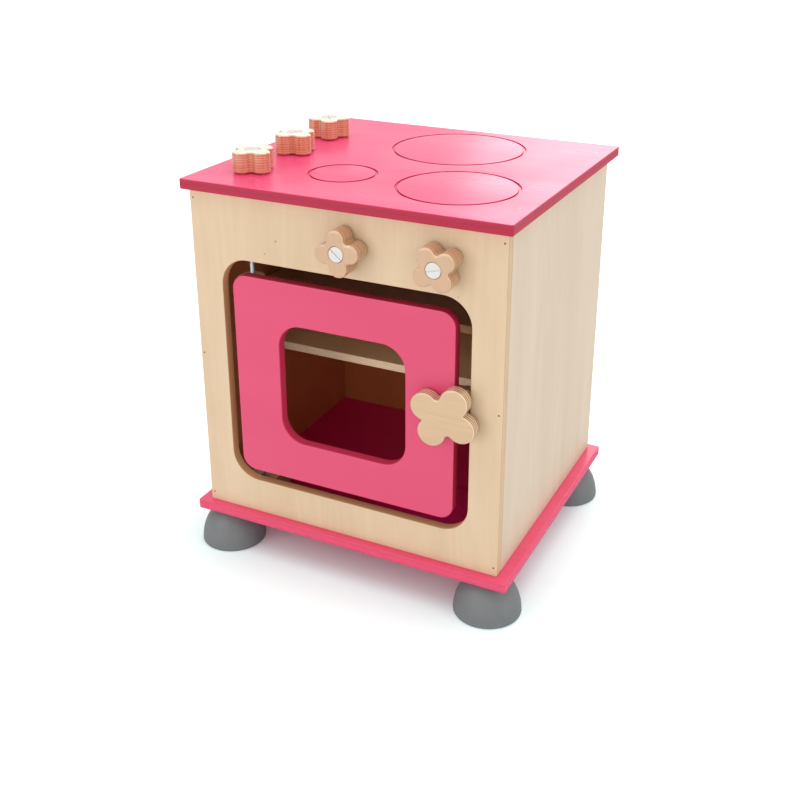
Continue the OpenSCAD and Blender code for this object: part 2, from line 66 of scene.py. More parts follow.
def quadGrid(index, closed=False):
    # Quads between the rows of a grid of point numbers whose columns run round a loop.
    here = index if closed else index[:-1]
    beyond = np.roll(index, -1, 0) if closed else index[1:]
    return np.stack([here, np.roll(here, -1, 1), np.roll(beyond, -1, 1), beyond], -1).reshape(-1, 4)


def ringStack(rings, closed=False):
    # A skin over a stack of loops with as many points each: quads join neighbouring loops, point by
    # point. A closed stack runs back into its first loop, an open one is shut by its two end loops.
    rings = np.asarray(rings, float)
    rows, columns = rings.shape[:2]
    index = np.arange(rows * columns).reshape(rows, columns)
    faces = quadGrid(index, closed).tolist()
    if not closed:
        faces += [index[0][::-1].tolist(), index[-1].tolist()]
    return outward(rings.reshape(-1, 3), faces)


def joined(shapes):
    # Several skins as one, their points numbered on from each other.
    points, faces, start = [], [], 0
    for shapePoints, shapeFaces in shapes:
        points.append(shapePoints)
        faces += [[corner + start for corner in face] for face in shapeFaces]
        start += len(shapePoints)
    return np.concatenate(points), faces


def boxCorners(node):
    # The low and the high corner of a node's box, as arrays.
    low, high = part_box(node)
    return np.array(low), np.array(high)


def unitCircle(sides):
    turn = np.linspace(0, 2 * np.pi, sides, endpoint=False)
    return np.stack([np.cos(turn), np.sin(turn)], -1)


def lay(flat, height, axis):
    # Flat points (u, v) at a height along an axis: z keeps (x, y), y keeps (x, z), x keeps (y, z).
    u, v = flat[:, 0], flat[:, 1]
    h = np.full(len(flat), float(height))
    return np.stack({"x": [h, u, v], "y": [u, h, v], "z": [u, v, h]}[axis], -1)


def roundRect(low, high, radius, steps=5, guard=0.4 * mm):
    # Outline of a rectangle with round corners, counter-clockwise, and the way out at each point.
    # A guard point on either side of a corner keeps the flat faces beside it flat when shaded.
    points, away = [], []
    for quarter, (cornerU, cornerV) in enumerate([(1, 1), (0, 1), (0, 0), (1, 0)]):
        centre = np.array([[low[0] + radius, high[0] - radius][cornerU],
                           [low[1] + radius, high[1] - radius][cornerV]])
        turn = np.radians(90 * quarter + np.linspace(0, 90, steps + 1))
        out = np.stack([np.cos(turn), np.sin(turn)], -1)
        along = np.stack([-np.sin(turn), np.cos(turn)], -1)
        bend = centre + radius * out
        points += [bend[:1] - guard * along[:1], bend, bend[-1:] + guard * along[-1:]]
        away += [out[:1], out, out[-1:]]
    return np.concatenate(points), np.concatenate(away)


def circleLike(outline, centre, radius):
    # A circle about the centre whose points face those of an outline around it, by their angle.
    reach = outline - np.asarray(centre)
    out = reach / np.linalg.norm(reach, axis=1)[:, None]
    return np.asarray(centre) + radius * out, out


def rim(ease, thick, guard=0.3 * mm, steps=4):
    # How far in and how high each loop of a board's edge lies, with both arrises rounded by a
    # quarter circle and a guard loop beside each of them.
    turn = np.radians(np.linspace(0, 90, steps + 1))
    inset = np.concatenate([[ease + guard], ease * (1 - np.sin(turn)), [0]])
    height = np.concatenate([[0], ease * (1 - np.cos(turn)), [ease + guard]])
    return np.concatenate([inset, inset[::-1]]), np.concatenate([height, thick - height[::-1]])


def board(outline, start, thick, axis, ease, hole=None):
    # A board: the loops of its rounded edge, and then those of its hole's edge back again.
    points, away = outline
    insets, heights = rim(ease, thick)
    rings = [lay(points - i * away, start + h, axis) for i, h in zip(insets, heights)]
    if hole is None:
        return ringStack(rings)
    points, away = hole
    rings += [lay(points + i * away, start + h, axis) for i, h in zip(insets[::-1], heights[::-1])]
    return ringStack(rings, closed=True)


def holeShare(points, hole, share):
    # How much of the painted light on its hole's edge each point of a board takes, loop by loop:
    # it rises over an arris to all of the share, and is nothing on the flat faces and the outer edge.
    rise = np.array([0, 0, 0.4, 0.7, 1, 1, 1]) * share
    across = np.concatenate([rise, rise[::-1]])
    count = len(hole[0])
    return np.concatenate([np.zeros(len(points) - len(across) * count), np.repeat(across, count)])


cornerMargin = 0.5 * mm    # how much a corner's radius is over the ease, so that no loop crosses itself


def boardIn(box, axis, ease, corner=None):
    # A board that fills a box, its thickness along the axis.
    low, high = np.array(box[0]), np.array(box[1])
    k = "xyz".index(axis)
    flat = [i for i in range(3) if i != k]
    outline = roundRect(low[flat], high[flat], corner or ease + cornerMargin)
    return board(outline, low[k], high[k] - low[k], axis, ease)


def turned(profile, centre, axis, sides=48, way=1, closed=False):
    # A turned piece: each (radius, height) of the profile becomes a circle about the axis.
    k = "xyz".index(axis)
    flatCentre = np.delete(np.array(centre, float), k)
    circle = unitCircle(sides)
    rings = [lay(flatCentre + r * circle, centre[k] + way * h, axis) for r, h in profile]
    return ringStack(rings, closed)


def flowerOutline(halfU, halfV, petal, notchU, notchV, turnDegrees, petalSteps=26, notchSteps=9):
    # Four petal arcs about (+-halfU, +-halfV), each running without a corner into the hollow arcs
    # between them: a notch circle stands outside and touches both of its petals.
    upper = halfV + np.sqrt((petal + notchV) ** 2 - halfU ** 2)
    outer = halfU + np.sqrt((petal + notchU) ** 2 - halfV ** 2)
    petals = [(halfU, halfV), (-halfU, halfV), (-halfU, -halfV), (halfU, -halfV)]
    notches = [((outer, 0), notchU), ((0, upper), notchV), ((-outer, 0), notchU), ((0, -upper), notchV)]
    points, away = [], []
    for k in range(4):
        centre = np.array(petals[k])
        before, after = [np.array(notches[i % 4][0]) for i in (k, k + 1)]
        start = np.arctan2(*(before - centre)[::-1])
        end = np.arctan2(*(after - centre)[::-1])
        turn = np.linspace(start, start + (end - start) % (2 * np.pi), petalSteps)
        out = np.stack([np.cos(turn), np.sin(turn)], -1)
        points.append(centre + petal * out)
        away.append(out)
        following = np.array(petals[(k + 1) % 4])
        notch = notches[(k + 1) % 4][1]
        start = np.arctan2(*(centre - after)[::-1])
        end = np.arctan2(*(following - after)[::-1])
        turn = np.linspace(start, start - (start - end) % (2 * np.pi), notchSteps)[1:-1]
        out = np.stack([np.cos(turn), np.sin(turn)], -1)
        points.append(after + notch * out)
        away.append(-out)
    spin = np.radians(turnDegrees)
    matrix = np.array([[np.cos(spin), np.sin(spin)], [-np.sin(spin), np.cos(spin)]])
    return np.concatenate(points) @ matrix, np.concatenate(away) @ matrix


def roundFlower(ring, petal, notch, turnDegrees):
    # A flower with four equal petals, whose centres lie on a ring.
    half = ring * np.sin(np.radians(45))
    return flowerOutline(half, half, petal, notch, notch, turnDegrees + 45)


def flower(outline, centre, axis, way, thick, ease, hole=None):
    # A flower cut from thick plywood: its outline eased at both rims, and the (radius, height)
    # steps of a round hole through it, if it has one. The outline is seen from its front.
    k = "xyz".index(axis)
    flatCentre = np.delete(np.array(centre, float), k)
    mirror = [-way if axis == "y" else 1, 1]
    points, away = outline[0] * mirror, outline[1] * mirror
    insets, heights = rim(ease, thick)
    rings = [lay(flatCentre + points - i * away, centre[k] + way * h, axis)
             for i, h in zip(insets, heights)]
    if hole is None:
        return ringStack(rings)
    around = circleLike(points, (0, 0), 1)[0]
    rings += [lay(flatCentre + r * around, centre[k] + way * h, axis) for r, h in hole]
    return ringStack(rings, closed=True)


def camelName(node):
    # A node's name as a piece's name: oven_knob_left becomes ovenKnobLeft.
    first, *rest = node.split("_")
    return first + "".join(word.capitalize() for word in rest)


def makePiece(name, shape, finish, body, replaced, paintedLightShade=None):
    # Puts a shape into the scene as a piece of its body, in the place of the nodes it stands for.
    # A point's value is its share of painted shade in the hob's grooves, painted light on hole edges.
    points, faces = shape
    mesh = bpy.data.meshes.new(name)
    mesh.from_pydata(points.tolist(), [], faces)
    mesh.polygons.foreach_set("use_smooth", [True] * len(mesh.polygons))
    if paintedLightShade is not None:
        mesh.attributes.new("paintedLightShade", "FLOAT", "POINT").data.foreach_set("value", paintedLightShade)
    mesh.materials.append(finish["material"])
    piece = bpy.data.objects.new(name, mesh)
    bpy.context.scene.collection.objects.link(piece)
    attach(piece, body)
    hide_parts(*replaced)


# Materials: shader nodes on each object's own coordinates. A noise's scale is in cycles per metre.

def addNode(tree, kind, values=None, links=None, **settings):
    # One shader node with its settings, its plain values and what feeds it.
    made = tree.nodes.new(kind)
    for key, value in settings.items():
        setattr(made, key, value)
    for key, value in (values or {}).items():
        made.inputs[key].default_value = value
    for key, source in (links or {}).items():
        tree.links.new(source, made.inputs[key])
    return made


def tone(red, green, blue):
    # A colour given as seen on a screen, from 0 to 255, as the light it stands for (sRGB's formula).
    seen = np.array([red, green, blue]) / 255
    light = np.where(seen <= 0.04045, seen / 12.92, ((seen + 0.055) / 1.055) ** 2.4)
    return (*[float(value) for value in light], 1.0)


def maths(tree, operation, a, b=None, c=None, clamp=False):
    # One sum on values or sockets.
    made = addNode(tree, "ShaderNodeMath", operation=operation, use_clamp=clamp)
    for slot, value in enumerate((a, b, c)):
        if value is None:
            continue
        if isinstance(value, (int, float)):
            made.inputs[slot].default_value = value
        else:
            tree.links.new(value, made.inputs[slot])
    return made.outputs[0]


def mixTone(tree, amount, first, second, blend="MIX"):
    # Two colours mixed by an amount, each of the three a value or a socket.
    made = addNode(tree, "ShaderNodeMix", data_type="RGBA", blend_type=blend)
    for slot, value in ((0, amount), (6, first), (7, second)):
        if isinstance(value, (int, float, tuple)):
            made.inputs[slot].default_value = value
        else:
            tree.links.new(value, made.inputs[slot])
    return made.outputs[2]


def spread(tree, value, low, high, toLow=0.0, toHigh=1.0):
    # Smoothly takes a value from one range to another, and holds it at the ends.
    return addNode(tree, "ShaderNodeMapRange", interpolation_type="SMOOTHSTEP",
                   values={1: low, 2: high, 3: toLow, 4: toHigh}, links={0: value}).outputs[0]


def noise(tree, place, scale, stretch=(1, 1, 1), detail=3.0, rough=0.5, shift=(0, 0, 0)):
    # Noise on the object's own coordinates, drawn out along the axes with a small stretch.
    moved = addNode(tree, "ShaderNodeMapping", values={1: shift, 3: stretch}, links={0: place})
    return addNode(tree, "ShaderNodeTexNoise",
                   values={"Scale": scale, "Detail": detail, "Roughness": rough},
                   links={"Vector": moved.outputs[0]}).outputs["Fac"]


def stretchOn(axis, along, across=1):
    # A stretch with one value along an axis and another across it.
    return tuple(along if letter == axis else across for letter in "xyz")


def startFinish(name):
    # A new material, with its tree, its shader and the object's own coordinates.
    material = bpy.data.materials.new(name)
    material.use_nodes = True
    tree = material.node_tree
    return material, tree, tree.nodes["Principled BSDF"], addNode(tree, "ShaderNodeTexCoord").outputs


def addBump(tree, shader, height, strength, distance):
    bump = addNode(tree, "ShaderNodeBump", values={"Strength": strength, "Distance": distance},
                   links={"Height": height})
    tree.links.new(bump.outputs[0], shader.inputs["Normal"])


pinKnot = dict(colour=(150, 98, 66), strength=0.7, reach=1.1, ragged=0.8, raggedScale=900)


def knot(tree, place, face, spot):
    # A pin knot at (x, z, radius) on the front board: a dark core whose ragged rim fades out.
    x, z, radius = spot
    centre = (x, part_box("front_panel")[0].y, z)
    away = addNode(tree, "ShaderNodeVectorMath", operation="DISTANCE", values={1: centre},
                   links={0: place}).outputs["Value"]
    ragged = maths(tree, "MULTIPLY_ADD", noise(tree, place, pinKnot["raggedScale"]),
                   -pinKnot["ragged"] * radius, away)
    core = spread(tree, ragged, 0.0, pinKnot["reach"] * radius, pinKnot["strength"], 0.0)
    return mixTone(tree, core, face, tone(*pinKnot["colour"]))


veneerNoise = dict(fibre=dict(scale=1300, detail=2, rough=0.6),
                   streak=dict(scale=200, detail=3, rough=0.6, shift=(0.3, 0.1, 0.7)),
                   drift=dict(scale=14, detail=2, rough=0.5, shift=(0.9, 0.4, 0.2)),
                   contour=dict(scale=7, detail=2, rough=0.45))
veneerShape = dict(long=0.03, slow=0.12, waves=160, span=0.24)


def veneer(tree, place, grain, look):
    # Face veneer, from 0 dark to 1 light: fine fibres and wider streaks along the grain, a slow
    # drift of tone, and the contour figure that peeled birch shows, a sine of stretched noise.
    long, slow = stretchOn(grain, veneerShape["long"]), stretchOn(grain, veneerShape["slow"])
    contour = noise(tree, place, stretch=slow, **veneerNoise["contour"])
    wave = maths(tree, "SINE", maths(tree, "MULTIPLY", contour, veneerShape["waves"]))
    total = maths(tree, "MULTIPLY", wave, look["figure"])
    for part, stretch in (("fibre", long), ("streak", long), ("drift", slow)):
        streaks = noise(tree, place, stretch=stretch, **veneerNoise[part])
        total = maths(tree, "MULTIPLY_ADD", streaks, look[part], total)
    middle = 0.5 * (look["fibre"] + look["streak"] + look["drift"])
    return spread(tree, total, middle - veneerShape["span"], middle + veneerShape["span"])


edgeNoise = dict(wander=dict(scale=45, detail=2, rough=0.5), pores=dict(scale=1400, detail=2, rough=0.7),
                 flecks=dict(scale=260, detail=2, rough=0.6))
edgeShape = dict(wander=0.3, wanderStretch=4, poreStretch=0.4, fleckStretch=(6, 0.25),
                 layerStep=(0.42, 0.58), unevenRange=(0.3, 1.0), poreRange=(0.4, 0.8),
                 fleckRange=(0.45, 0.75), glueRange=(0.02, 0.12), endGrainRelief=-0.5, poreRelief=0.6)


def plyEdge(tree, place, axis, look):
    # The edge of a plywood sheet: layers in turn long-grained and end-grained across the
    # thickness, a little wavy, with a thin dark glue line between them and pores in the end grain.
    height = addNode(tree, "ShaderNodeSeparateXYZ", links={0: place}).outputs["xyz".index(axis)]
    wander = noise(tree, place, stretch=stretchOn(axis, edgeShape["wanderStretch"]), **edgeNoise["wander"])
    layers = maths(tree, "MULTIPLY_ADD", height, 1 / look["ply"],
                   maths(tree, "MULTIPLY", wander, edgeShape["wander"]))
    wave = maths(tree, "PINGPONG", layers, 1.0)
    endGrain = spread(tree, wave, *edgeShape["layerStep"])
    pores = noise(tree, place, stretch=stretchOn(axis, edgeShape["poreStretch"]), **edgeNoise["pores"])
    flecks = noise(tree, place, stretch=stretchOn(axis, *edgeShape["fleckStretch"]), **edgeNoise["flecks"])
    layerTone = addNode(tree, "ShaderNodeTexWhiteNoise", noise_dimensions="1D",
                        links={"W": maths(tree, "FLOOR", layers)}).outputs["Value"]
    colour = mixTone(tree, endGrain, tone(*look["edgeLight"]), tone(*look["edgeDark"]))
    for value, reach, share in ((layerTone, edgeShape["unevenRange"], look["uneven"]),
                                (pores, edgeShape["poreRange"], look["pores"]),
                                (flecks, edgeShape["fleckRange"], look["pores"])):
        amount = maths(tree, "MULTIPLY", spread(tree, value, *reach), share)
        colour = mixTone(tree, amount, colour, tone(*look["edgeDeep"]))
    fromGlue = maths(tree, "ABSOLUTE", maths(tree, "SUBTRACT", wave, 0.5))
    glue = spread(tree, fromGlue, *edgeShape["glueRange"], look["glue"], 0.0)
    relief = maths(tree, "MULTIPLY_ADD", endGrain, edgeShape["endGrainRelief"],
                   maths(tree, "MULTIPLY", pores, edgeShape["poreRelief"]))
    return mixTone(tree, glue, colour, tone(*look["edgeDeep"])), relief


def shadedInside(tree, place, colour, look):
    # Painted shade: inside the cabinet the colour is multiplied by a tone that stands for the shade there.
    x, y, z = addNode(tree, "ShaderNodeSeparateXYZ", links={0: place}).outputs
    near = 0.2 * mm
    within = [maths(tree, "LESS_THAN", maths(tree, "ABSOLUTE", x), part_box("right_side")[0].x + near),
              maths(tree, "GREATER_THAN", y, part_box("front_panel")[1].y - near),
              maths(tree, "LESS_THAN", y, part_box("back_panel")[0].y + near),
              maths(tree, "GREATER_THAN", z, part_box("base_panel")[1].z - near),
              maths(tree, "LESS_THAN", z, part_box("hob_top")[0].z + near)]
    inside = within[0]
    for test in within[1:]:
        inside = maths(tree, "MULTIPLY", inside, test)
    return mixTone(tree, inside, colour, tone(*look["inside"]), "MULTIPLY")


plySurface = dict(faceFrom=0.6, faceTo=0.92, specular=0.5, figureGloss=0.6, coatRoughness=0.16,
                  coatIor=1.8, bumpDistance=0.1 * mm)


def plyFinish(name, slot, axis, grain, look):
    # Plywood: its face veneer where a surface faces along the sheet's thickness, else its edge.
    material, tree, shader, where = startFinish(name)
    place = where["Object"]
    facing = addNode(tree, "ShaderNodeSeparateXYZ", links={0: where["Normal"]}).outputs["xyz".index(axis)]
    onFace = spread(tree, maths(tree, "ABSOLUTE", facing), plySurface["faceFrom"], plySurface["faceTo"])
    figure = veneer(tree, place, grain, look)
    face = mixTone(tree, figure, tone(*look["faceDark"]), tone(*look["faceLight"]))
    for spot in look.get("knots", ()):
        face = knot(tree, place, face, spot)
    edge, edgeRelief = plyEdge(tree, place, axis, look)
    colour = mixTone(tree, onFace, edge, face)
    # Painted shade in the hob's grooves, painted light on the doorway's and the window's edges.
    if "paintedLightShade" in look:
        paintedLightShade = addNode(tree, "ShaderNodeAttribute", attribute_name="paintedLightShade").outputs["Fac"]
        colour = mixTone(tree, paintedLightShade, colour, tone(*look["paintedLightShade"]))
        specular = maths(tree, "MULTIPLY_ADD", paintedLightShade, -plySurface["specular"], plySurface["specular"])
        tree.links.new(specular, shader.inputs["Specular IOR Level"])
    # Painted shade inside the cabinet.
    colour = shadedInside(tree, place, colour, look)
    tree.links.new(colour, shader.inputs["Base Color"])
    dull = addNode(tree, "ShaderNodeMix", data_type="FLOAT",
                   values={2: 1 - look["edgeGloss"], 3: 1 - look["gloss"]}, links={0: onFace}).outputs[0]
    roughness = maths(tree, "MULTIPLY_ADD", figure, -plySurface["figureGloss"] * look["relief"], dull)
    tree.links.new(roughness, shader.inputs["Roughness"])
    shader.inputs["Coat Weight"].default_value = look["coat"]
    shader.inputs["Coat Roughness"].default_value = plySurface["coatRoughness"]
    shader.inputs["Coat IOR"].default_value = plySurface["coatIor"]
    relief = addNode(tree, "ShaderNodeMix", data_type="FLOAT",
                     links={0: onFace, 2: edgeRelief, 3: figure}).outputs[0]
    addBump(tree, shader, relief, look["relief"], plySurface["bumpDistance"])
    return {"material": material, "slot": slot}


metalSurface = dict(streaks=dict(scale=1800, detail=2, rough=0.6), spotScale=260, spotRange=(0.45, 0.75),
                    bump=0.15, bumpDistance=0.05 * mm)


def metalFinish(name, slot, look):
    # Metal drawn or turned: fine streaks along one axis vary its gloss, and dull spots its colour.
    material, tree, shader, where = startFinish(name)
    streaks = noise(tree, where["Object"], stretch=look["stretch"], **metalSurface["streaks"])
    spots = spread(tree, noise(tree, where["Object"], metalSurface["spotScale"]), *metalSurface["spotRange"])
    amount = maths(tree, "MULTIPLY", spots, look["spotted"])
    colour = mixTone(tree, amount, tone(*look["colour"]), tone(*look["dull"]))
    tree.links.new(colour, shader.inputs["Base Color"])
    shader.inputs["Metallic"].default_value = look["metallic"]
    roughness = maths(tree, "MULTIPLY_ADD", streaks, look["streaked"], look["rough"])
    tree.links.new(roughness, shader.inputs["Roughness"])
    addBump(tree, shader, streaks, metalSurface["bump"], metalSurface["bumpDistance"])
    return {"material": material, "slot": slot}


rubberSurface = dict(dust=dict(scale=60, detail=4, rough=0.6), patches=dict(scale=320, stretch=(1, 1, 3)),
                     patchRange=(0.55, 0.7), dimples=dict(scale=2600, detail=1), bump=0.25,
                     bumpDistance=0.06 * mm)


def rubberFinish(name, slot, look):
    # Moulded rubber: a dusty grey with a fine dimpled grain and a few paler scuffs near the floor.
    material, tree, shader, where = startFinish(name)
    place = where["Object"]
    dust = noise(tree, place, **rubberSurface["dust"])
    height = addNode(tree, "ShaderNodeSeparateXYZ", links={0: place}).outputs[2]
    low = spread(tree, height, 0.0, look["scuffHeight"], 1.0, 0.0)
    patches = spread(tree, noise(tree, place, **rubberSurface["patches"]), *rubberSurface["patchRange"])
    scuffs = maths(tree, "MULTIPLY", maths(tree, "MULTIPLY", patches, low), look["scuffed"])
    colour = mixTone(tree, dust, tone(*look["dark"]), tone(*look["light"]))
    tree.links.new(mixTone(tree, scuffs, colour, tone(*look["scuff"])), shader.inputs["Base Color"])
    roughness = maths(tree, "MULTIPLY_ADD", dust, look["dusty"], look["rough"])
    tree.links.new(roughness, shader.inputs["Roughness"])
    dimples = noise(tree, place, **rubberSurface["dimples"])
    addBump(tree, shader, dimples, rubberSurface["bump"], rubberSurface["bumpDistance"])
    return {"material": material, "slot": slot}


def bradFinish(name, slot, look):
    # Brad heads: dark with oxide in the bare boards, bright where they sit in the pink hob board.
    material, tree, shader, where = startFinish(name)
    height = addNode(tree, "ShaderNodeSeparateXYZ", links={0: where["Object"]}).outputs[2]
    low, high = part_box("hob_top")
    middle = (low.z + high.z) / 2
    onHob = spread(tree, height, middle - look["fade"], middle)
    specks = noise(tree, where["Object"], look["speckScale"])
    rust = mixTone(tree, specks, tone(*look["dark"]), tone(*look["rust"]))
    tree.links.new(mixTone(tree, onHob, rust, tone(*look["pale"])), shader.inputs["Base Color"])
    shader.inputs["Metallic"].default_value = look["metallic"]
    shader.inputs["Roughness"].default_value = look["rough"]
    return {"material": material, "slot": slot}


# Looks: colours as seen on a screen, from 0 to 255. A look starts from a plainer one and changes
# what differs. The ply is the thickness of one layer.

# A look's inside tone is painted shade: inside the cabinet it multiplies the colour.
ply = 12 * mm / 9
pinKnots = [(-81 * mm, 416.5 * mm, 1.3 * mm), (-96 * mm, 399.6 * mm, 1.0 * mm),
            (139 * mm, 388 * mm, 0.8 * mm)]
natural = dict(faceLight=(222, 197, 164), faceDark=(213, 186, 151), edgeLight=(222, 196, 162),
               edgeDark=(206, 176, 140), edgeDeep=(150, 112, 78), ply=ply, fibre=0.3, streak=0.25,
               drift=0.9, figure=0.04, pores=0.25, glue=0.3, uneven=0.2, gloss=0.52, edgeGloss=0.35,
               relief=0.08, coat=0.0, inside=(250, 180, 130))
# The front board's hollow tone is warm painted light on the doorway's edge.
front = dict(natural, edgeLight=(226, 198, 160), edgeDark=(208, 176, 136), knots=pinKnots,
             paintedLightShade=(240, 170, 114))
# The side boards are paler and cooler than the front board: painted sheen.
side = dict(natural, faceLight=(214, 196, 172), faceDark=(206, 187, 162))
# The blocks and small wooden parts are paler and barely shaded inside: painted light.
block = dict(natural, faceLight=(250, 230, 200), faceDark=(240, 216, 182), inside=(255, 246, 232))
# The lower shelf is paler and barely shaded inside: painted light, as if lit through the window.
shelf = dict(natural, faceLight=(240, 214, 180), faceDark=(232, 204, 168), edgeLight=(255, 238, 212),
             edgeDark=(246, 224, 194), inside=(255, 246, 235))
# The upper shelf's edge is darker and browner: painted shade.
upperShelf = dict(shelf, edgeLight=(224, 178, 136), edgeDark=(208, 160, 118))
pink = dict(faceLight=(236, 68, 122), faceDark=(230, 60, 113), edgeLight=(188, 22, 66),
            edgeDark=(176, 18, 58), edgeDeep=(124, 10, 38), ply=ply, fibre=0.2, streak=0.3,
            drift=0.8, figure=0.04, pores=0.25, glue=0.2, uneven=0.25, gloss=0.68, edgeGloss=0.4,
            relief=0.08, coat=0.0, inside=(255, 84, 255))
# Hob: painted shade in its grooves, and painted shade that turns its underside dark brown.
hobPink = dict(pink, paintedLightShade=(186, 14, 72), inside=(150, 130, 110))
basePink = dict(pink, faceLight=(240, 82, 122), faceDark=(234, 72, 112), edgeLight=(240, 84, 122),
                edgeDark=(230, 72, 108), edgeDeep=(180, 34, 70), pores=0.4)
# The door's hollow tone is a lighter pink on its window's edge: painted light.
doorPink = dict(pink, faceLight=(221, 73, 113), faceDark=(218, 69, 109), edgeLight=(166, 18, 56),
                edgeDark=(156, 14, 48), paintedLightShade=(210, 58, 90), fibre=0.1, streak=0.08, drift=1.0,
                figure=0.02, relief=0.005)
knobWood = dict(natural, faceLight=(204, 163, 122), faceDark=(197, 155, 113), edgeLight=(218, 178, 138),
                edgeDark=(178, 128, 84), edgeDeep=(132, 86, 54), ply=24 * mm / 17, uneven=0.45,
                gloss=0.62, edgeGloss=0.5, relief=0.2, coat=1.0)
# The hob knobs' faces are near white: painted sheen.
hobKnobWood = dict(knobWood, faceLight=(246, 232, 210), faceDark=(242, 224, 198),
                   edgeLight=(226, 158, 112), edgeDark=(206, 116, 78), edgeDeep=(150, 76, 54), uneven=0.3)
latchWood = dict(knobWood, faceLight=(211, 176, 132), faceDark=(200, 163, 118), edgeLight=(246, 220, 184),
                 edgeDark=(184, 138, 92), edgeDeep=(120, 82, 52), ply=15 * mm / 9, glue=0.9, uneven=0.25,
                 streak=0.6)
# The catch flower is paler than the latch flower and barely shaded inside: painted light.
catchWoodPaintedLight = dict(latchWood, faceLight=(244, 216, 180), faceDark=(238, 206, 168), inside=(255, 250, 240))
bradSteel = dict(dark=(104, 84, 62), rust=(64, 50, 38), pale=(222, 214, 208), fade=4 * mm,
                 speckScale=900, metallic=0.3, rough=0.5)
drawnSteel = dict(colour=(176, 177, 182), dull=(138, 139, 144), spotted=0.35, metallic=0.7, rough=0.26,
                  streaked=0.25, stretch=(1, 1, 0.02))
capMetal = dict(colour=(219, 216, 211), dull=(198, 195, 189), spotted=0.35, metallic=0.25, rough=0.3,
                streaked=0.25, stretch=(1, 1, 1))
greyRubber = dict(dark=(105, 107, 108), light=(122, 124, 124), scuff=(150, 152, 151), scuffed=0.5,
                  scuffHeight=12 * mm, rough=0.5, dusty=0.15)
finishes = {
    "hob": plyFinish("pinkHobPly", "pink_ply", "z", "x", hobPink),
    "base": plyFinish("pinkBasePly", "pink_ply", "z", "x", basePink),
    "door": plyFinish("pinkDoorPly", "pink_ply", "y", "x", doorPink),
    "front": plyFinish("birchFrontPly", "natural_ply", "y", "z", front),
    "side": plyFinish("birchSidePly", "natural_ply", "x", "z", side),
    "shelf": plyFinish("birchShelfPly", "shelf_ply", "z", "x", shelf),
    "upperShelf": plyFinish("birchUpperShelfPly", "shelf_ply", "z", "x", upperShelf),
    "back": plyFinish("birchBackPly", "natural_ply", "y", "z", natural),
    "block": plyFinish("birchBlockPly", "natural_ply", "z", "x", block),
    "frontKnob": plyFinish("birchFrontKnob", "knob_ply", "y", "z", knobWood),
    "hobKnob": plyFinish("birchHobKnob", "knob_ply", "z", "x", hobKnobWood),
    "latch": plyFinish("birchLatchFlower", "knob_ply", "y", "x", latchWood),
    "catch": plyFinish("birchCatchFlower", "knob_ply", "y", "x", catchWoodPaintedLight),
    "brad": bradFinish("bradSteel", "steel", bradSteel),
    "steel": metalFinish("drawnSteel", "steel", drawnSteel),
    "cap": metalFinish("paleCapMetal", "cap_metal", capMetal),
    "rubber": rubberFinish("greyRubber", "grey_rubber", greyRubber),
}
print("finishes ready:", len(finishes))


# The cabinet's boards.

cabinet = dict(ease=0.8 * mm, stile=37.5 * mm, headRail=76.5 * mm, footRail=44.5 * mm,
               doorwayRadius=34 * mm, doorwayPaintedLight=0.55, bends=18, baseEase=1.2 * mm, baseCorner=2.5 * mm)


def frontBoard():
    # The doorway lies within the stiles and rails; its edge takes a share of warm painted light.
    low, high = boxCorners("front_panel")
    doorway = roundRect(low[[0, 2]] + [cabinet["stile"], cabinet["footRail"]],
                        high[[0, 2]] - [cabinet["stile"], cabinet["headRail"]],
                        cabinet["doorwayRadius"], cabinet["bends"])
    outline = roundRect(low[[0, 2]], high[[0, 2]], cabinet["ease"] + cornerMargin, cabinet["bends"])
    shape = board(outline, low[1], high[1] - low[1], "y", cabinet["ease"], doorway)
    makePiece("frontBoard", shape, finishes["front"], "cabinet", ["front_panel"],
              holeShare(shape[0], doorway, cabinet["doorwayPaintedLight"]))


def plainBoards():
    for node, name, axis, finish in [("left_side", "leftBoard", "x", "side"),
                                     ("right_side", "rightBoard", "x", "side"),
                                     ("back_panel", "backBoard", "y", "back"),
                                     ("lower_shelf", "lowerShelf", "z", "shelf"),
                                     ("upper_shelf", "upperShelf", "z", "upperShelf")]:
        makePiece(name, boardIn(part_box(node), axis, cabinet["ease"]), finishes[finish], "cabinet", [node])
    makePiece("baseBoard", boardIn(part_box("base_panel"), "z", cabinet["baseEase"], cabinet["baseCorner"]),
              finishes["base"], "cabinet", ["base_panel"])


# The hob board with its ring grooves: x from its middle, y from its front edge, and radius.

hob = dict(ease=1.2 * mm, corner=2.5 * mm, cornerSteps=6, grooveWidth=3.2 * mm, grooveDepth=1.4 * mm,
           lip=0.2 * mm, draft=0.1 * mm, foot=0.25 * mm, sides=144, bandShare=0.3, tolerance=1e-9,
           rings=[(25 * mm, 268.7 * mm, 81.4 * mm), (95.6 * mm, 103.9 * mm, 67.9 * mm),
                  (-46.5 * mm, 101.7 * mm, 38.7 * mm)])


def grooveProfile(radius):
    # From the outer lip down a steep wall and over a flat bottom, and the same way up again: the
    # distance from the axis, the height, and how much of the walls' painted shade lies there.
    half, depth, lip, foot = hob["grooveWidth"] / 2, hob["grooveDepth"], hob["lip"], hob["foot"]
    wall = half - hob["draft"]
    outer = np.array([(half + 2 * lip, 0, 0), (half + 0.9 * lip, -0.12 * lip, 0),
                      (half + 0.25 * lip, -0.5 * lip, 0.5), (half, -1.3 * lip, 1), (wall, foot - depth, 1),
                      (wall - 0.3 * foot, 0.3 * foot - depth, 0.8), (wall - foot, -depth, 0.3),
                      (wall - 2 * foot, -depth, 0.15)])
    profile = np.concatenate([outer, outer[::-1] * [-1, 1, 1]])
    return radius + profile[:, 0], profile[:, 1], profile[:, 2]


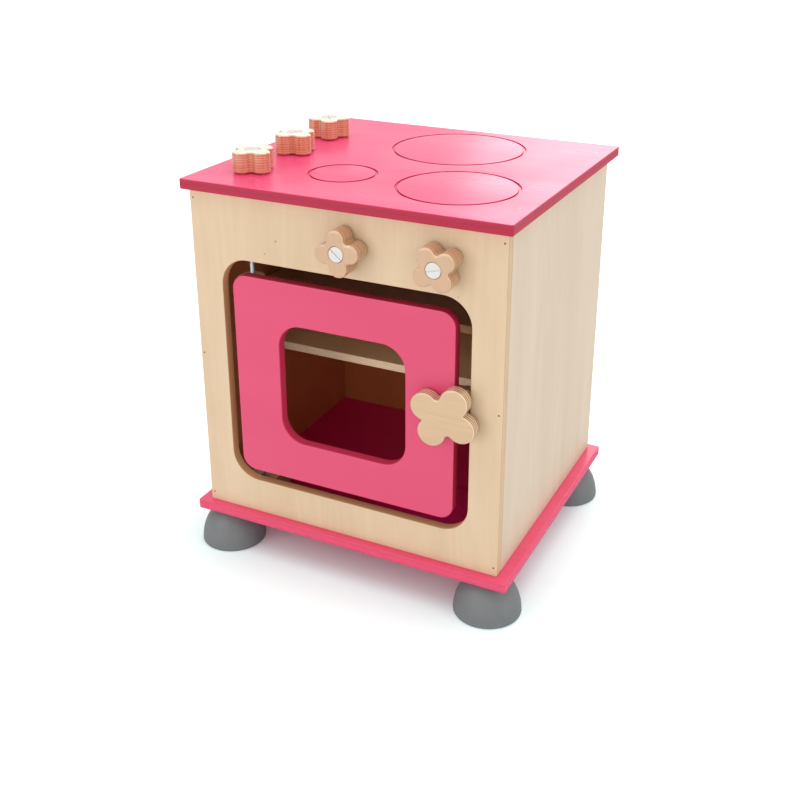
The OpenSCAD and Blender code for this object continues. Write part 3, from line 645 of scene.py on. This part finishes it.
def flatBetween(points, loops, rings):
    # The flat top: a triangulation that keeps every loop, without the bands of the ring grooves,
    # which are its triangles whose middle lies within a share of a groove's width from its circle.
    chosen = np.concatenate(loops)
    edges, count = [], 0
    for loop in loops:
        number = count + np.arange(len(loop))
        edges += np.stack([number, np.roll(number, -1)], -1).tolist()
        count += len(loop)
    flat = points[chosen][:, :2]
    found = delaunay_2d_cdt([Vector(p) for p in flat.tolist()], edges, [], 0, hob["tolerance"])
    corners = np.array([[found[3][corner][0] for corner in face] for face in found[2]])
    middle = flat[corners].mean(1)
    keep = np.ones(len(corners), bool)
    for x, y, radius in rings:
        fromGroove = np.abs(np.hypot(middle[:, 0] - x, middle[:, 1] - y) - radius)
        keep &= fromGroove > hob["bandShare"] * hob["grooveWidth"]
    a, b, c = [flat[corners[:, i]] for i in range(3)]
    left = (b - a)[:, 0] * (c - a)[:, 1] - (b - a)[:, 1] * (c - a)[:, 0]
    corners = np.where((left < 0)[:, None], corners[:, ::-1], corners)
    return chosen[corners[keep]].tolist()


def hobBoard():
    # The rounded edge with its underside comes first, then each groove as a strip carried round
    # its circle, and last the flat top between them.
    low, high = boxCorners("hob_top")
    points, away = roundRect(low[:2], high[:2], hob["corner"], hob["cornerSteps"])
    insets, heights = rim(hob["ease"], high[2] - low[2])
    loops = np.array([lay(points - i * away, low[2] + h, "z") for i, h in zip(insets, heights)])
    index = np.arange(loops.shape[0] * loops.shape[1]).reshape(loops.shape[:2])
    parts, paintedLightShade = [loops.reshape(-1, 3)], [np.zeros(index.size)]
    faces = quadGrid(index).tolist() + [index[0][::-1].tolist()]
    topLoops, start = [index[-1]], index.size
    circle = unitCircle(hob["sides"])
    rings = [(x, low[1] + y, radius) for x, y, radius in hob["rings"]]
    for x, y, radius in rings:
        radii, drops, grooveShade = grooveProfile(radius)
        strip = np.array([lay([x, y] + r * circle, high[2] + d, "z") for r, d in zip(radii, drops)])
        index = start + np.arange(len(radii) * len(circle)).reshape(len(radii), len(circle))
        parts.append(strip.reshape(-1, 3))
        faces += quadGrid(index).tolist()
        paintedLightShade.append(np.repeat(grooveShade, len(circle)))
        topLoops += [index[0], index[-1]]
        start += index.size
    everything = np.concatenate(parts)
    faces += flatBetween(everything, topLoops, rings)
    makePiece("hobBoard", (everything, faces), finishes["hob"], "cabinet", ["hob_top"],
              np.concatenate(paintedLightShade))


# The door, with its window within the stiles and rails, whose edge takes painted light.

door = dict(ease=1.2 * mm, radius=17.5 * mm, stile=59 * mm, rail=51 * mm, windowRadius=29 * mm,
            windowPaintedLight=1.0, bends=16)


def doorBoard():
    low, high = boxCorners("door_panel")
    frameWidths = [door["stile"], door["rail"]]
    outline = roundRect(low[[0, 2]], high[[0, 2]], door["radius"], door["bends"])
    window = roundRect(low[[0, 2]] + frameWidths, high[[0, 2]] - frameWidths, door["windowRadius"],
                       door["bends"])
    shape = board(outline, low[1], high[1] - low[1], "y", door["ease"], window)
    makePiece("doorBoard", shape, finishes["door"], "door", ["door_panel"],
              holeShare(shape[0], window, door["windowPaintedLight"]))


# The flower knobs, with how far each is turned in degrees.

knobs = dict(ring=15.5 * mm, petal=10.8 * mm, notch=3 * mm, ease=2.2 * mm, thick=24 * mm,
             bore=4.06 * mm, recess=9.35 * mm, seat=21.3 * mm, lip=0.25 * mm,
             frontTurns={"oven_knob_left": 6, "oven_knob_right": 36.5},
             hobTurns={"hob_knob_front": 69, "hob_knob_middle": 64, "hob_knob_back": 30})


def knobShape(centre, axis, way, turnDegrees):
    # The hole's steps run from the front face down: the cap's recess, its seat, then the bore.
    lip, thick, recess, seat = knobs["lip"], knobs["thick"], knobs["recess"], knobs["seat"]
    hole = [(recess + 2 * lip, thick), (recess + lip, thick), (recess, thick - lip), (recess, seat),
            (knobs["bore"], seat), (knobs["bore"], 0)]
    outline = roundFlower(knobs["ring"], knobs["petal"], knobs["notch"], turnDegrees)
    return flower(outline, centre, axis, way, thick, knobs["ease"], hole)


def flowerKnobs():
    for node, turnDegrees in knobs["frontTurns"].items():
        low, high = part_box(node)
        centre = ((low.x + high.x) / 2, high.y, (low.z + high.z) / 2)
        makePiece(camelName(node), knobShape(centre, "y", -1, turnDegrees), finishes["frontKnob"], node,
                  [node])
    for node, turnDegrees in knobs["hobTurns"].items():
        low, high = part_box(node)
        centre = ((low.x + high.x) / 2, (low.y + high.y) / 2, low.z)
        makePiece(camelName(node), knobShape(centre, "z", 1, turnDegrees), finishes["hobKnob"], node,
                  [node])


# The latch: a wide flower in front of the door and a smaller one behind it.

latch = dict(along=17.75 * mm, across=14.95 * mm, petal=16.2 * mm, wideNotch=4.5 * mm,
             narrowNotch=0.8 * mm, turn=16.5, thick=15 * mm, ease=1.8 * mm,
             catchRing=18 * mm, catchPetal=10 * mm, catchNotch=3 * mm, catchTurn=45, catchThick=13 * mm)


def latchFlowers():
    outer = flowerOutline(latch["along"], latch["across"], latch["petal"], latch["narrowNotch"],
                          latch["wideNotch"], latch["turn"])
    inner = roundFlower(latch["catchRing"], latch["catchPetal"], latch["catchNotch"], latch["catchTurn"])
    for node, outline, thick, finish in [("latch_flower", outer, latch["thick"], "latch"),
                                         ("catch_flower", inner, latch["catchThick"], "catch")]:
        low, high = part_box(node)
        centre = ((low.x + high.x) / 2, high.y, (low.z + high.z) / 2)
        makePiece(camelName(node), flower(outline, centre, "y", -1, thick, latch["ease"]),
                  finishes[finish], "latch", [node])


# The rubber feet.

feet = dict(radius=40 * mm, top=15 * mm, height=48 * mm, edge=2 * mm, edgeSteps=7, well=7.5 * mm,
            roof=8 * mm, bore=2 * mm, wellEase=0.8 * mm, topEase=0.9 * mm, topDrop=0.6 * mm,
            sideStart=0.05, sideSteps=28, sides=96,
            names={"foot_front_left": "frontLeftFoot", "foot_front_right": "frontRightFoot",
                   "foot_back_left": "backLeftFoot", "foot_back_right": "backRightFoot"})


def bellProfile():
    # A bell: going up from its rounded edge, its radius shrinks as an ellipse does. Then come its
    # top, the bore through its roof, and the well inside.
    radius, top, height, edge = feet["radius"], feet["top"], feet["height"], feet["edge"]
    well, ease, roof = feet["well"], feet["wellEase"], feet["height"] - feet["roof"]
    turn = np.radians(np.linspace(0, 90, feet["edgeSteps"]))
    sole = np.stack([radius - edge * (1 - np.sin(turn)), edge * (1 - np.cos(turn))], -1)
    lift = np.sin(np.linspace(feet["sideStart"], np.pi / 2, feet["sideSteps"]))
    heights = edge + (height - feet["topDrop"] - edge) * lift
    rise = height / np.sqrt(1 - (top / radius) ** 2)
    flank = np.stack([radius * np.sqrt(1 - (heights / rise) ** 2), heights], -1)
    inner = [(top - feet["topEase"], height), (feet["bore"], height), (feet["bore"], roof), (well, roof),
             (well, ease)]
    return np.concatenate([[(well + ease, 0)], sole, flank, inner])


def bellFeet():
    for node, name in feet["names"].items():
        low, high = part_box(node)
        centre = ((low.x + high.x) / 2, (low.y + high.y) / 2, low.z)
        shape = turned(bellProfile(), centre, "z", feet["sides"], closed=True)
        makePiece(name, shape, finishes["rubber"], "cabinet", [node])


# The brads: how far in they stand from the front board's ends and sides, and from the outer faces
# of the cabinet's walls where they go through the hob and the base board.

brads = dict(shank=0.8 * mm, head=1.1 * mm, length=30 * mm, proud=0.08 * mm, dome=0.6, headThick=1 * mm,
             neck=1.2 * mm, tip=1 * mm, point=0.2, sides=14, inSide=4.5 * mm, inEnd=10.75 * mm,
             inWall=8.5 * mm, inFront=50 * mm, inBack=22 * mm)


def boardBrads():
    low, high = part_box("front_panel")
    bottom, top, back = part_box("base_panel")[0].z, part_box("hob_top")[1].z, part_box("back_panel")[1].y
    head, shank, length = brads["head"], brads["shank"], brads["length"]
    profile = [(head * brads["dome"], -brads["proud"]), (head, 0), (head, brads["headThick"]),
               (shank, brads["neck"]), (shank, length - brads["tip"]), (shank * brads["point"], length)]
    pins = []
    for x in (low.x + brads["inSide"], high.x - brads["inSide"]):
        for z in (low.z + brads["inEnd"], (low.z + high.z) / 2, high.z - brads["inEnd"]):
            pins.append(turned(profile, (x, low.y, z), "y", brads["sides"]))
    for x in (low.x + brads["inWall"], high.x - brads["inWall"]):
        for y in (low.y + brads["inFront"], back - brads["inBack"]):
            pins.append(turned(profile, (x, y, top), "z", brads["sides"], -1))
            pins.append(turned(profile, (x, y, bottom), "z", brads["sides"]))
    makePiece("boardBrads", joined(pins), finishes["brad"], "cabinet", ["panel_brads"])


# The two blocks of the hinge rod, the battens under the shelves, and the rod.

hinge = dict(blockCorner=2 * mm, blockEase=0.8 * mm, play=0.1 * mm, rodEase=0.5 * mm, rodSides=32)
battens = dict(width=10 * mm, height=14 * mm, ease=0.6 * mm)


def rodBlocks():
    low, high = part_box("hinge_rod")
    axisPoint = ((low.x + high.x) / 2, (low.y + high.y) / 2)
    radius = (high.x - low.x) / 2
    for node, name in [("rod_block_lower", "lowerRodBlock"), ("rod_block_upper", "upperRodBlock")]:
        low, high = boxCorners(node)
        outline = roundRect(low[:2], high[:2], hinge["blockCorner"])
        hole = circleLike(outline[0], axisPoint, radius + hinge["play"])
        shape = board(outline, low[2], high[2] - low[2], "z", hinge["blockEase"], hole)
        makePiece(name, shape, finishes["block"], "cabinet", [node])


def shelfBattens():
    low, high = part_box("shelf_battens")
    width, height = battens["width"], battens["height"]
    strips = []
    for x in (low.x, high.x - width):
        for z in (low.z, high.z - height):
            box = ((x, low.y, z), (x + width, high.y, z + height))
            strips.append(boardIn(box, "z", battens["ease"]))
    makePiece("shelfBattens", joined(strips), finishes["block"], "cabinet", ["shelf_battens"])


def hingeRod():
    low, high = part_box("hinge_rod")
    radius, length, ease = (high.x - low.x) / 2, high.z - low.z, hinge["rodEase"]
    profile = [(radius - ease, 0), (radius, ease), (radius, length - ease), (radius - ease, length)]
    foot = ((low.x + high.x) / 2, (low.y + high.y) / 2, low.z)
    makePiece("hingeRod", turned(profile, foot, "z", hinge["rodSides"]), finishes["steel"], "cabinet",
              ["hinge_rod"])


# The CAD nodes that stay, by their finish, and the bevel of the wooden ones with arrises.

smallParts = dict(
    block=("knuckle_lower", "knuckle_upper", "latch_spindle", "latch_spacer"),
    steel=("rod_collar", "foot_washers", "foot_screws", "oven_knob_screws", "oven_knob_washers",
           "hob_knob_screws", "hob_knob_washers", "knuckle_screws", "latch_screw", "latch_washer"),
    cap=("oven_knob_bolts", "hob_knob_bolts"))
bevel = dict(nodes=("knuckle_lower", "knuckle_upper"), width=0.7 * mm, segments=2, angle=40,
             weld=0.01 * mm)


def dressSmallParts():
    for finish, nodes in smallParts.items():
        for node in nodes:
            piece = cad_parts[node]
            piece.data.materials.clear()
            piece.data.materials.append(finishes[finish]["material"])
    for node in bevel["nodes"]:
        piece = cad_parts[node]
        weld = piece.modifiers.new("weld", "WELD")
        weld.merge_threshold = bevel["weld"]
        eased = piece.modifiers.new("bevel", "BEVEL")
        eased.width, eased.segments = bevel["width"], bevel["segments"]
        eased.limit_method, eased.angle_limit = "ANGLE", np.radians(bevel["angle"])


frontBoard()
plainBoards()
hobBoard()
doorBoard()
flowerKnobs()
latchFlowers()
bellFeet()
boardBrads()
rodBlocks()
shelfBattens()
hingeRod()
dressSmallParts()


# The floor. It glows a little to the camera, in the steps of glow (from, to, how much), so that it
# turns white away from the base board; under and near the board it glows less, which paints the
# shadow there. Near the board a cool tone takes out the pink light that the boards throw on it:
# painted light.

white = (1, 1, 1, 1)
floor = dict(level=-0.1 * mm, rings=(0.4, 1.0, 3.0, 14.0), sides=96, pale=((248, 248, 248), (250, 250, 250)),
             cloudScale=3, pinkBounceCancelTone=(233, 249, 249), pinkBounceCancelReach=0.16, roughness=0.7, specular=0.2,
             glow=[(-0.075, 0.02, 0.21), (0.02, 0.16, 0.19), (0.5, 3.0, 0.25)])


def awayFromBase(tree, place):
    # Distance from the base board's outline, below zero under it: the length of what each of x and
    # y is past the edge, and under the board the greater of the two.
    x, y, z = addNode(tree, "ShaderNodeSeparateXYZ", links={0: place}).outputs
    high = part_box("base_panel")[1]
    reach = [maths(tree, "SUBTRACT", maths(tree, "ABSOLUTE", part), edge)
             for part, edge in ((x, high.x), (y, high.y))]
    past = [maths(tree, "POWER", maths(tree, "MAXIMUM", part, 0.0), 2.0) for part in reach]
    under = maths(tree, "MINIMUM", maths(tree, "MAXIMUM", *reach), 0.0)
    return maths(tree, "ADD", maths(tree, "SQRT", maths(tree, "ADD", *past)), under)


def floorFinish():
    material, tree, shader, where = startFinish("paleFloor")
    away = awayFromBase(tree, where["Object"])
    # Painted shadow: the glow is least under and near the base board.
    glow = 0.0
    for start, end, share in floor["glow"]:
        glow = maths(tree, "ADD", spread(tree, away, start, end, 0.0, share), glow)
    cloud = noise(tree, where["Object"], floor["cloudScale"])
    pale = mixTone(tree, cloud, *[tone(*colour) for colour in floor["pale"]])
    # Painted light: near the base board a cool tone takes out the pink light bounced onto the floor.
    near = spread(tree, away, 0.0, floor["pinkBounceCancelReach"], 1.0, 0.0)
    tree.links.new(mixTone(tree, near, pale, tone(*floor["pinkBounceCancelTone"])), shader.inputs["Base Color"])
    shader.inputs["Roughness"].default_value = floor["roughness"]
    shader.inputs["Specular IOR Level"].default_value = floor["specular"]
    shader.inputs["Emission Color"].default_value = white
    seen = addNode(tree, "ShaderNodeLightPath").outputs["Is Camera Ray"]
    tree.links.new(maths(tree, "MULTIPLY", seen, glow), shader.inputs["Emission Strength"])
    return material


def studioFloor():
    # A flat disc of rings about the origin, shut in its middle.
    circle = unitCircle(floor["sides"])
    points = np.concatenate([lay(r * circle, floor["level"], "z") for r in floor["rings"]])
    index = np.arange(len(points)).reshape(len(floor["rings"]), floor["sides"])
    mesh = bpy.data.meshes.new("studioFloor")
    mesh.from_pydata(points.tolist(), [], quadGrid(index)[:, ::-1].tolist() + [index[0].tolist()])
    mesh.materials.append(floorFinish())
    disc = bpy.data.objects.new("studioFloor", mesh)
    bpy.context.scene.collection.objects.link(disc)


# The light: a pale room, seen as white, and round lamps (name, place, size, power).

studio = dict(roomLevel=0.55, seenLevel=1.0, lampTarget=(0, 0, 0.25),
              lamps=[("keyLamp", (-1.6, -3.2, 0.95), 2.2, 28), ("fillLamp", (1.1, -2.9, 1.3), 1.6, 8),
                     ("sideLamp", (3.0, -0.4, 1.6), 2.4, 24), ("topLamp", (0.3, 0.2, 3.2), 2.6, 38),
                     ("rimLamp", (-1.46, -1.27, 2.9), 0.9, 11), ("sheenLamp", (0.05, 2.9, 1.3), 2.4, 27)])


def studioRoom():
    room = bpy.data.worlds.new("paleRoom")
    bpy.context.scene.world = room
    room.use_nodes = True
    tree = room.node_tree
    back = tree.nodes["Background"]
    path = addNode(tree, "ShaderNodeLightPath")
    seen = maths(tree, "ADD", path.outputs["Is Camera Ray"], path.outputs["Is Glossy Ray"], clamp=True)
    seen = maths(tree, "ADD", seen, path.outputs["Is Transmission Ray"], clamp=True)
    level = addNode(tree, "ShaderNodeMix", data_type="FLOAT",
                    values={2: studio["roomLevel"], 3: studio["seenLevel"]}, links={0: seen})
    back.inputs["Color"].default_value = white
    tree.links.new(level.outputs[0], back.inputs["Strength"])


def studioLamps():
    for name, place, size, power in studio["lamps"]:
        light = bpy.data.lights.new(name, "AREA")
        light.shape, light.size, light.energy = "DISK", size, power
        lamp = bpy.data.objects.new(name, light)
        bpy.context.scene.collection.objects.link(lamp)
        lamp.location = place
        aim = Vector(studio["lampTarget"]) - Vector(place)
        lamp.rotation_euler = aim.to_track_quat("-Z", "Y").to_euler()


# The camera, solved from the photograph: turn in degrees, focal length, picture size and the
# picture's optical centre in picture points.

cameraLook = dict(place=(558.9 * mm, -1148.2 * mm, 797.9 * mm), turn=(67.76754, -0.10202, 25.89257),
                  focal=1106.3, frameSize=800, centre=(410, 320), sensor=36, clip=(0.05, 60))


def studioCamera():
    data = bpy.data.cameras.new("camera")
    size = cameraLook["frameSize"]
    data.sensor_width = cameraLook["sensor"]
    data.lens = cameraLook["focal"] / size * cameraLook["sensor"]
    data.shift_x = (size / 2 - cameraLook["centre"][0]) / size
    data.shift_y = (cameraLook["centre"][1] - size / 2) / size
    data.clip_start, data.clip_end = cameraLook["clip"]
    camera = bpy.data.objects.new("camera", data)
    camera.location = cameraLook["place"]
    camera.rotation_euler = np.radians(cameraLook["turn"]).tolist()
    bpy.context.scene.collection.objects.link(camera)
    bpy.context.scene.camera = camera


studioFloor()
studioRoom()
studioLamps()
studioCamera()
bpy.context.scene.view_settings.view_transform = "Standard"
print("stage ready")
